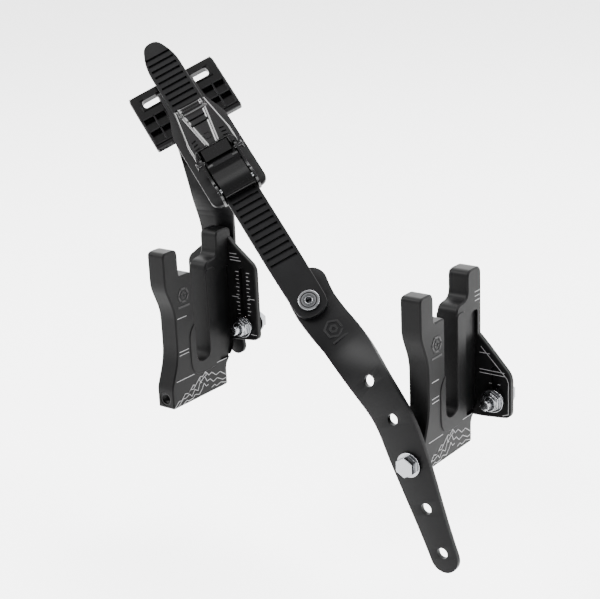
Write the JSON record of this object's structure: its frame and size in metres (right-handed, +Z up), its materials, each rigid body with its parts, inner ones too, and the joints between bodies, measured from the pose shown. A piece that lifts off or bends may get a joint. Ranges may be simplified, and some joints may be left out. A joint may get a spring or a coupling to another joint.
{
  "type": "snowboard carrier strap kit",
  "caption": "Fork brackets that hold a snowboard on edge, joined by an adjustable ratchet strap with a buckle.",
  "frame": {"origin": "centre of the back face of the left bracket's mounting flange, on the plane that the vehicle panel or rack rail touches", "axes": "+Y out of the flanges' back faces towards the panel, +Z up along the forks, +X from the left bracket to the right bracket"},
  "size_m": [0.256, 0.0925, 0.2668],
  "materials": {
    "bracket_plastic": "satin",
    "strap_plastic": "satin",
    "gloss_plastic": "gloss",
    "black_metal": "gloss",
    "zinc": "satin"
  },
  "bodies": {
    "left_frame": {"left_bracket": "bracket_plastic", "left_foot_insert": "black_metal", "left_back_insert": "black_metal", "back_bolt": "zinc"},
    "left_bolts": {"left_flange_bolt": "zinc", "left_flange_washer": "zinc", "left_lock_nut": "zinc"},
    "strap_back": {"buckle_strap": "strap_plastic", "buckle_base": "black_metal", "base_rivet_lower": "zinc", "base_rivet_upper": "zinc", "lever_rivet_left": "black_metal", "lever_rivet_right": "black_metal", "lock_pawl_pin": "zinc", "lock_spring": "zinc"},
    "guard": {"edge_guard": "gloss_plastic"},
    "lever": {"buckle_lever": "black_metal", "drive_pawl_pin": "zinc", "drive_spring": "zinc"},
    "drive": {"drive_pawl": "black_metal"},
    "lock": {"lock_pawl": "black_metal"},
    "ladder": {"ladder_strap": "strap_plastic"},
    "extension": {"extension_strap": "strap_plastic", "pivot_tee_nut": "zinc", "pivot_screw": "zinc"},
    "right_frame": {"right_bracket": "bracket_plastic", "right_foot_insert": "black_metal", "right_back_insert": "black_metal", "foot_bolt": "zinc"},
    "right_bolts": {"right_flange_bolt": "zinc", "right_flange_washer": "zinc", "right_lock_nut": "zinc"}
  },
  "joints": [
    {"name": "left_bolt_slot", "type": "slide", "parent": "left_frame", "child": "left_bolts", "axis": [0, 0, 1], "range_m": [-0.001, 0.002]},
    {"name": "strap_back_pivot", "type": "hinge", "parent": "left_frame", "child": "strap_back", "pos_m": [-0.0235, 0.0016, -0.012], "axis": [0, 1, 0], "range_deg": [-8, 8]},
    {"name": "guard_slide", "type": "slide", "parent": "strap_back", "child": "guard", "axis": [0.5767, 0.7108, 0.4027], "range_m": [-0.005, 0.005]},
    {"name": "lever_pivot", "type": "hinge", "parent": "strap_back", "child": "lever", "pos_m": [0.00423, -0.03133, 0.09192], "axis": [0.5767, 0.7108, 0.4027], "range_deg": [0, 90]},
    {"name": "drive_pawl_pivot", "type": "hinge", "parent": "lever", "child": "drive", "pos_m": [-0.00355, -0.02873, 0.09848], "axis": [0.5767, 0.7108, 0.4027], "range_deg": [-8, 0], "stiffness_Nm_per_rad": 0.02},
    {"name": "lock_pawl_pivot", "type": "hinge", "parent": "strap_back", "child": "lock", "pos_m": [0.01994, -0.03624, 0.07809], "axis": [0.5767, 0.7108, 0.4027], "range_deg": [0, 6], "stiffness_Nm_per_rad": 0.02},
    {"name": "ladder_slide", "type": "slide", "parent": "strap_back", "child": "ladder", "axis": [-0.7341, 0.2346, 0.6372], "range_m": [-0.03, 0.03]},
    {"name": "extension_pivot", "type": "hinge", "parent": "ladder", "child": "extension", "pos_m": [0.0815, -0.0535, 0.0204], "axis": [0.3584, -0.6631, 0.6572], "range_deg": [-15, 15]},
    {"name": "foot_pivot", "type": "hinge", "parent": "extension", "child": "right_frame", "pos_m": [0.154, -0.0653, -0.056], "axis": [0, 1, 0], "range_deg": [-15, 5]},
    {"name": "right_bolt_slot", "type": "slide", "parent": "right_frame", "child": "right_bolts", "axis": [0, 0, 1], "range_m": [-0.0015, 0.002]}
  ]
}
